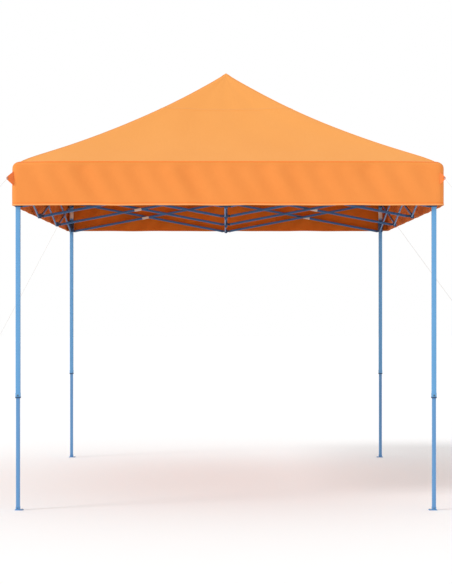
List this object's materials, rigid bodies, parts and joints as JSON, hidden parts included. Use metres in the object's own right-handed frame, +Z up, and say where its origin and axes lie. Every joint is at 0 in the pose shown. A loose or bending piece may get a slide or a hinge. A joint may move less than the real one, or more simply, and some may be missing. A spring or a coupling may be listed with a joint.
{
  "type": "folding party shelter",
  "caption": "Free-standing pop-up shelter: telescoping legs and a folding scissor truss carry a hipped fabric roof with a valance and corner guy ropes.",
  "frame": {"origin": "on the ground at the middle of the footprint", "axes": "+Z up, +Y along the long side from front to back, +X across the short side to the right"},
  "size_m": [4.2594, 4.9952, 3.01],
  "materials": {
    "leg_tube": "powder-coated steel tube, satin light blue",
    "truss_bar": "powder-coated steel bar, satin mid blue",
    "fitting": "moulded glass-filled nylon, matte dark",
    "post_tube": "powder-coated steel tube with nylon bracket",
    "canopy_cloth": "coated polyester, woven, matte orange",
    "rope_cord": "braided polyester cord, pale grey"
  },
  "bodies": {
    "row2_left_bar_hung": {"row2_left_bar_hung": "truss_bar"},
    "row2_left_bar_crossed": {"row2_left_bar_crossed": "truss_bar"},
    "row2_right_bar_hung": {"row2_right_bar_hung": "truss_bar"},
    "row2_right_bar_crossed": {"row2_right_bar_crossed": "truss_bar"},
    "centre_bay1_bar_hung": {"centre_bay1_bar_hung": "truss_bar"},
    "centre_bay1_bar_crossed": {"centre_bay1_bar_crossed": "truss_bar"},
    "centre_bay2_bar_hung": {"centre_bay2_bar_hung": "truss_bar"},
    "centre_bay2_bar_crossed": {"centre_bay2_bar_crossed": "truss_bar"},
    "row3_left_bar_hung": {"row3_left_bar_hung": "truss_bar"},
    "row3_left_bar_crossed": {"row3_left_bar_crossed": "truss_bar"},
    "row3_right_bar_hung": {"row3_right_bar_hung": "truss_bar"},
    "row3_right_bar_crossed": {"row3_right_bar_crossed": "truss_bar"},
    "centre_bay3_bar_hung": {"centre_bay3_bar_hung": "truss_bar"},
    "centre_bay3_bar_crossed": {"centre_bay3_bar_crossed": "truss_bar"},
    "row1_left_bar_hung": {"row1_left_bar_hung": "truss_bar"},
    "row1_left_bar_crossed": {"row1_left_bar_crossed": "truss_bar"},
    "row1_right_bar_hung": {"row1_right_bar_hung": "truss_bar"},
    "row1_right_bar_crossed": {"row1_right_bar_crossed": "truss_bar"},
    "row4_left_bar_hung": {"row4_left_bar_hung": "truss_bar"},
    "row4_left_bar_crossed": {"row4_left_bar_crossed": "truss_bar"},
    "row4_right_bar_hung": {"row4_right_bar_hung": "truss_bar"},
    "row4_right_bar_crossed": {"row4_right_bar_crossed": "truss_bar"},
    "left_bay1_bar_hung": {"left_bay1_bar_hung": "truss_bar"},
    "left_bay1_bar_crossed": {"left_bay1_bar_crossed": "truss_bar"},
    "left_bay2_bar_hung": {"left_bay2_bar_hung": "truss_bar"},
    "left_bay2_bar_crossed": {"left_bay2_bar_crossed": "truss_bar"},
    "right_bay1_bar_hung": {"right_bay1_bar_hung": "truss_bar"},
    "right_bay1_bar_crossed": {"right_bay1_bar_crossed": "truss_bar"},
    "right_bay2_bar_hung": {"right_bay2_bar_hung": "truss_bar"},
    "right_bay2_bar_crossed": {"right_bay2_bar_crossed": "truss_bar"},
    "left_bay3_bar_hung": {"left_bay3_bar_hung": "truss_bar"},
    "left_bay3_bar_crossed": {"left_bay3_bar_crossed": "truss_bar"},
    "right_bay3_bar_hung": {"right_bay3_bar_hung": "truss_bar"},
    "right_bay3_bar_crossed": {"right_bay3_bar_crossed": "truss_bar"},
    "leg_outer_front_left": {"leg_outer_front_left": "leg_tube"},
    "leg_inner_front_left": {"leg_inner_front_left": "leg_tube"},
    "slider_front_left": {"slider_front_left": "fitting"},
    "leg_outer_front_right": {"leg_outer_front_right": "leg_tube"},
    "leg_inner_front_right": {"leg_inner_front_right": "leg_tube"},
    "slider_front_right": {"slider_front_right": "fitting"},
    "leg_outer_back_left": {"leg_outer_back_left": "leg_tube"},
    "leg_inner_back_left": {"leg_inner_back_left": "leg_tube"},
    "slider_back_left": {"slider_back_left": "fitting"},
    "leg_outer_back_right": {"leg_outer_back_right": "leg_tube"},
    "leg_inner_back_right": {"leg_inner_back_right": "leg_tube"},
    "slider_back_right": {"slider_back_right": "fitting"},
    "hub_front": {"hub_front": "fitting"},
    "hub_peak_front": {"hub_peak_front": "fitting"},
    "hub_peak_back": {"hub_peak_back": "fitting"},
    "hub_back": {"hub_back": "fitting"},
    "hub_left": {"hub_left": "fitting"},
    "hub_right": {"hub_right": "fitting"},
    "post_front": {"post_front": "post_tube"},
    "post_back": {"post_back": "post_tube"},
    "canopy": {"canopy": "canopy_cloth", "rope_front_left": "rope_cord", "rope_front_right": "rope_cord", "rope_back_left": "rope_cord", "rope_back_right": "rope_cord"}
  },
  "joints": [
    {"name": "fold", "type": "hinge", "parent": "hub_peak_front", "child": "row2_left_bar_hung", "pos_m": [-0.034, -0.675, 2.219], "axis": [0, -1, 0], "range_deg": [0, 73]},
    {"name": "row2_left_cross", "type": "hinge", "parent": "row2_left_bar_hung", "child": "row2_left_bar_crossed", "pos_m": [-0.675, -0.675, 2.097], "axis": [0, 1, 0], "range_deg": [0, 146]},
    {"name": "hub_left_level", "type": "hinge", "parent": "row2_left_bar_crossed", "child": "hub_left", "pos_m": [-1.316, -0.675, 2.219], "axis": [0, -1, 0], "range_deg": [0, 73]},
    {"name": "row2_right_hang", "type": "hinge", "parent": "hub_peak_front", "child": "row2_right_bar_hung", "pos_m": [0.034, -0.675, 2.219], "axis": [0, 1, 0], "range_deg": [0, 73]},
    {"name": "row2_right_cross", "type": "hinge", "parent": "row2_right_bar_hung", "child": "row2_right_bar_crossed", "pos_m": [0.675, -0.675, 2.097], "axis": [0, -1, 0], "range_deg": [0, 146]},
    {"name": "hub_right_level", "type": "hinge", "parent": "row2_right_bar_crossed", "child": "hub_right", "pos_m": [1.316, -0.675, 2.219], "axis": [0, 1, 0], "range_deg": [0, 73]},
    {"name": "post_front_level", "type": "hinge", "parent": "row2_right_bar_crossed", "child": "post_front", "pos_m": [0.034, -0.675, 1.975], "axis": [0, 1, 0], "range_deg": [0, 73]},
    {"name": "centre_bay1_hang", "type": "hinge", "parent": "hub_peak_front", "child": "centre_bay1_bar_hung", "pos_m": [0, -0.709, 2.219], "axis": [1, 0, 0], "range_deg": [0, 73]},
    {"name": "centre_bay1_cross", "type": "hinge", "parent": "centre_bay1_bar_hung", "child": "centre_bay1_bar_crossed", "pos_m": [0, -1.35, 2.097], "axis": [-1, 0, 0], "range_deg": [0, 146]},
    {"name": "hub_front_level", "type": "hinge", "parent": "centre_bay1_bar_crossed", "child": "hub_front", "pos_m": [0, -1.991, 2.219], "axis": [1, 0, 0], "range_deg": [0, 73]},
    {"name": "centre_bay2_hang", "type": "hinge", "parent": "hub_peak_front", "child": "centre_bay2_bar_hung", "pos_m": [0, -0.641, 2.219], "axis": [-1, 0, 0], "range_deg": [0, 73]},
    {"name": "centre_bay2_cross", "type": "hinge", "parent": "centre_bay2_bar_hung", "child": "centre_bay2_bar_crossed", "pos_m": [0, 0, 2.097], "axis": [1, 0, 0], "range_deg": [0, 146]},
    {"name": "hub_peak_back_level", "type": "hinge", "parent": "centre_bay2_bar_crossed", "child": "hub_peak_back", "pos_m": [0, 0.641, 2.219], "axis": [-1, 0, 0], "range_deg": [0, 73]},
    {"name": "post_back_level", "type": "hinge", "parent": "centre_bay2_bar_hung", "child": "post_back", "pos_m": [0, 0.641, 1.975], "axis": [1, 0, 0], "range_deg": [0, 73]},
    {"name": "row3_left_hang", "type": "hinge", "parent": "hub_peak_back", "child": "row3_left_bar_hung", "pos_m": [-0.034, 0.675, 2.219], "axis": [0, -1, 0], "range_deg": [0, 73]},
    {"name": "row3_left_cross", "type": "hinge", "parent": "row3_left_bar_hung", "child": "row3_left_bar_crossed", "pos_m": [-0.675, 0.675, 2.097], "axis": [0, 1, 0], "range_deg": [0, 146]},
    {"name": "row3_right_hang", "type": "hinge", "parent": "hub_peak_back", "child": "row3_right_bar_hung", "pos_m": [0.034, 0.675, 2.219], "axis": [0, 1, 0], "range_deg": [0, 73]},
    {"name": "row3_right_cross", "type": "hinge", "parent": "row3_right_bar_hung", "child": "row3_right_bar_crossed", "pos_m": [0.675, 0.675, 2.097], "axis": [0, -1, 0], "range_deg": [0, 146]},
    {"name": "centre_bay3_hang", "type": "hinge", "parent": "hub_peak_back", "child": "centre_bay3_bar_hung", "pos_m": [0, 0.709, 2.219], "axis": [-1, 0, 0], "range_deg": [0, 73]},
    {"name": "centre_bay3_cross", "type": "hinge", "parent": "centre_bay3_bar_hung", "child": "centre_bay3_bar_crossed", "pos_m": [0, 1.35, 2.097], "axis": [1, 0, 0], "range_deg": [0, 146]},
    {"name": "hub_back_level", "type": "hinge", "parent": "centre_bay3_bar_crossed", "child": "hub_back", "pos_m": [0, 1.991, 2.219], "axis": [-1, 0, 0], "range_deg": [0, 73]},
    {"name": "row1_left_hang", "type": "hinge", "parent": "hub_front", "child": "row1_left_bar_hung", "pos_m": [-0.034, -2.025, 2.219], "axis": [0, -1, 0], "range_deg": [0, 73]},
    {"name": "row1_left_cross", "type": "hinge", "parent": "row1_left_bar_hung", "child": "row1_left_bar_crossed", "pos_m": [-0.675, -2.025, 2.097], "axis": [0, 1, 0], "range_deg": [0, 146]},
    {"name": "leg_outer_front_left_level", "type": "hinge", "parent": "row1_left_bar_crossed", "child": "leg_outer_front_left", "pos_m": [-1.316, -2.025, 2.219], "axis": [0, -1, 0], "range_deg": [0, 73]},
    {"name": "slider_front_left_level", "type": "hinge", "parent": "row1_left_bar_hung", "child": "slider_front_left", "pos_m": [-1.316, -2.025, 1.975], "axis": [0, 1, 0], "range_deg": [0, 73]},
    {"name": "row1_right_hang", "type": "hinge", "parent": "hub_front", "child": "row1_right_bar_hung", "pos_m": [0.034, -2.025, 2.219], "axis": [0, 1, 0], "range_deg": [0, 73]},
    {"name": "row1_right_cross", "type": "hinge", "parent": "row1_right_bar_hung", "child": "row1_right_bar_crossed", "pos_m": [0.675, -2.025, 2.097], "axis": [0, -1, 0], "range_deg": [0, 146]},
    {"name": "leg_outer_front_right_level", "type": "hinge", "parent": "row1_right_bar_crossed", "child": "leg_outer_front_right", "pos_m": [1.316, -2.025, 2.219], "axis": [0, 1, 0], "range_deg": [0, 73]},
    {"name": "slider_front_right_level", "type": "hinge", "parent": "row1_right_bar_hung", "child": "slider_front_right", "pos_m": [1.316, -2.025, 1.975], "axis": [0, -1, 0], "range_deg": [0, 73]},
    {"name": "row4_left_hang", "type": "hinge", "parent": "hub_back", "child": "row4_left_bar_hung", "pos_m": [-0.034, 2.025, 2.219], "axis": [0, -1, 0], "range_deg": [0, 73]},
    {"name": "row4_left_cross", "type": "hinge", "parent": "row4_left_bar_hung", "child": "row4_left_bar_crossed", "pos_m": [-0.675, 2.025, 2.097], "axis": [0, 1, 0], "range_deg": [0, 146]},
    {"name": "leg_outer_back_left_level", "type": "hinge", "parent": "row4_left_bar_crossed", "child": "leg_outer_back_left", "pos_m": [-1.316, 2.025, 2.219], "axis": [0, -1, 0], "range_deg": [0, 73]},
    {"name": "slider_back_left_level", "type": "hinge", "parent": "row4_left_bar_hung", "child": "slider_back_left", "pos_m": [-1.316, 2.025, 1.975], "axis": [0, 1, 0], "range_deg": [0, 73]},
    {"name": "row4_right_hang", "type": "hinge", "parent": "hub_back", "child": "row4_right_bar_hung", "pos_m": [0.034, 2.025, 2.219], "axis": [0, 1, 0], "range_deg": [0, 73]},
    {"name": "row4_right_cross", "type": "hinge", "parent": "row4_right_bar_hung", "child": "row4_right_bar_crossed", "pos_m": [0.675, 2.025, 2.097], "axis": [0, -1, 0], "range_deg": [0, 146]},
    {"name": "leg_outer_back_right_level", "type": "hinge", "parent": "row4_right_bar_crossed", "child": "leg_outer_back_right", "pos_m": [1.316, 2.025, 2.219], "axis": [0, 1, 0], "range_deg": [0, 73]},
    {"name": "slider_back_right_level", "type": "hinge", "parent": "row4_right_bar_hung", "child": "slider_back_right", "pos_m": [1.316, 2.025, 1.975], "axis": [0, -1, 0], "range_deg": [0, 73]},
    {"name": "left_bay1_hang", "type": "hinge", "parent": "hub_left", "child": "left_bay1_bar_hung", "pos_m": [-1.35, -0.709, 2.219], "axis": [1, 0, 0], "range_deg": [0, 73]},
    {"name": "left_bay1_cross", "type": "hinge", "parent": "left_bay1_bar_hung", "child": "left_bay1_bar_crossed", "pos_m": [-1.35, -1.35, 2.097], "axis": [-1, 0, 0], "range_deg": [0, 146]},
    {"name": "left_bay2_hang", "type": "hinge", "parent": "hub_left", "child": "left_bay2_bar_hung", "pos_m": [-1.35, -0.641, 2.219], "axis": [-1, 0, 0], "range_deg": [0, 73]},
    {"name": "left_bay2_cross", "type": "hinge", "parent": "left_bay2_bar_hung", "child": "left_bay2_bar_crossed", "pos_m": [-1.35, 0, 2.097], "axis": [1, 0, 0], "range_deg": [0, 146]},
    {"name": "right_bay1_hang", "type": "hinge", "parent": "hub_right", "child": "right_bay1_bar_hung", "pos_m": [1.35, -0.709, 2.219], "axis": [1, 0, 0], "range_deg": [0, 73]},
    {"name": "right_bay1_cross", "type": "hinge", "parent": "right_bay1_bar_hung", "child": "right_bay1_bar_crossed", "pos_m": [1.35, -1.35, 2.097], "axis": [-1, 0, 0], "range_deg": [0, 146]},
    {"name": "right_bay2_hang", "type": "hinge", "parent": "hub_right", "child": "right_bay2_bar_hung", "pos_m": [1.35, -0.641, 2.219], "axis": [-1, 0, 0], "range_deg": [0, 73]},
    {"name": "right_bay2_cross", "type": "hinge", "parent": "right_bay2_bar_hung", "child": "right_bay2_bar_crossed", "pos_m": [1.35, 0, 2.097], "axis": [1, 0, 0], "range_deg": [0, 146]},
    {"name": "left_bay3_hang", "type": "hinge", "parent": "leg_outer_back_left", "child": "left_bay3_bar_hung", "pos_m": [-1.35, 1.991, 2.219], "axis": [1, 0, 0], "range_deg": [0, 73]},
    {"name": "left_bay3_cross", "type": "hinge", "parent": "left_bay3_bar_hung", "child": "left_bay3_bar_crossed", "pos_m": [-1.35, 1.35, 2.097], "axis": [-1, 0, 0], "range_deg": [0, 146]},
    {"name": "right_bay3_hang", "type": "hinge", "parent": "leg_outer_back_right", "child": "right_bay3_bar_hung", "pos_m": [1.35, 1.991, 2.219], "axis": [1, 0, 0], "range_deg": [0, 73]},
    {"name": "right_bay3_cross", "type": "hinge", "parent": "right_bay3_bar_hung", "child": "right_bay3_bar_crossed", "pos_m": [1.35, 1.35, 2.097], "axis": [-1, 0, 0], "range_deg": [0, 146]},
    {"name": "leg_front_left_telescope", "type": "slide", "parent": "leg_outer_front_left", "child": "leg_inner_front_left", "axis": [0, 0, 1], "range_m": [0, 0.68]},
    {"name": "leg_front_right_telescope", "type": "slide", "parent": "leg_outer_front_right", "child": "leg_inner_front_right", "axis": [0, 0, 1], "range_m": [0, 0.68]},
    {"name": "leg_back_left_telescope", "type": "slide", "parent": "leg_outer_back_left", "child": "leg_inner_back_left", "axis": [0, 0, 1], "range_m": [0, 0.68]},
    {"name": "leg_back_right_telescope", "type": "slide", "parent": "leg_outer_back_right", "child": "leg_inner_back_right", "axis": [0, 0, 1], "range_m": [0, 0.68]},
    {"name": "canopy_lift", "type": "slide", "parent": "hub_peak_front", "child": "canopy", "axis": [0, 0, 1], "range_m": [0, 1.15]}
  ],
  "couplings": [
    {"joint": "row2_left_cross", "follows": "fold", "ratio": 2},
    {"joint": "hub_left_level", "follows": "fold", "ratio": 1},
    {"joint": "row2_right_hang", "follows": "fold", "ratio": 1},
    {"joint": "row2_right_cross", "follows": "fold", "ratio": 2},
    {"joint": "hub_right_level", "follows": "fold", "ratio": 1},
    {"joint": "post_front_level", "follows": "fold", "ratio": 1},
    {"joint": "centre_bay1_hang", "follows": "fold", "ratio": 1},
    {"joint": "centre_bay1_cross", "follows": "fold", "ratio": 2},
    {"joint": "hub_front_level", "follows": "fold", "ratio": 1},
    {"joint": "centre_bay2_hang", "follows": "fold", "ratio": 1},
    {"joint": "centre_bay2_cross", "follows": "fold", "ratio": 2},
    {"joint": "hub_peak_back_level", "follows": "fold", "ratio": 1},
    {"joint": "post_back_level", "follows": "fold", "ratio": 1},
    {"joint": "row3_left_hang", "follows": "fold", "ratio": 1},
    {"joint": "row3_left_cross", "follows": "fold", "ratio": 2},
    {"joint": "row3_right_hang", "follows": "fold", "ratio": 1},
    {"joint": "row3_right_cross", "follows": "fold", "ratio": 2},
    {"joint": "centre_bay3_hang", "follows": "fold", "ratio": 1},
    {"joint": "centre_bay3_cross", "follows": "fold", "ratio": 2},
    {"joint": "hub_back_level", "follows": "fold", "ratio": 1},
    {"joint": "row1_left_hang", "follows": "fold", "ratio": 1},
    {"joint": "row1_left_cross", "follows": "fold", "ratio": 2},
    {"joint": "leg_outer_front_left_level", "follows": "fold", "ratio": 1},
    {"joint": "slider_front_left_level", "follows": "fold", "ratio": 1},
    {"joint": "row1_right_hang", "follows": "fold", "ratio": 1},
    {"joint": "row1_right_cross", "follows": "fold", "ratio": 2},
    {"joint": "leg_outer_front_right_level", "follows": "fold", "ratio": 1},
    {"joint": "slider_front_right_level", "follows": "fold", "ratio": 1},
    {"joint": "row4_left_hang", "follows": "fold", "ratio": 1},
    {"joint": "row4_left_cross", "follows": "fold", "ratio": 2},
    {"joint": "leg_outer_back_left_level", "follows": "fold", "ratio": 1},
    {"joint": "slider_back_left_level", "follows": "fold", "ratio": 1},
    {"joint": "row4_right_hang", "follows": "fold", "ratio": 1},
    {"joint": "row4_right_cross", "follows": "fold", "ratio": 2},
    {"joint": "leg_outer_back_right_level", "follows": "fold", "ratio": 1},
    {"joint": "slider_back_right_level", "follows": "fold", "ratio": 1},
    {"joint": "left_bay1_hang", "follows": "fold", "ratio": 1},
    {"joint": "left_bay1_cross", "follows": "fold", "ratio": 2},
    {"joint": "left_bay2_hang", "follows": "fold", "ratio": 1},
    {"joint": "left_bay2_cross", "follows": "fold", "ratio": 2},
    {"joint": "right_bay1_hang", "follows": "fold", "ratio": 1},
    {"joint": "right_bay1_cross", "follows": "fold", "ratio": 2},
    {"joint": "right_bay2_hang", "follows": "fold", "ratio": 1},
    {"joint": "right_bay2_cross", "follows": "fold", "ratio": 2},
    {"joint": "left_bay3_hang", "follows": "fold", "ratio": 1},
    {"joint": "left_bay3_cross", "follows": "fold", "ratio": 2},
    {"joint": "right_bay3_hang", "follows": "fold", "ratio": 1},
    {"joint": "right_bay3_cross", "follows": "fold", "ratio": 2},
    {"joint": "canopy_lift", "follows": "fold", "m_per_rad": 0.9}
  ]
}
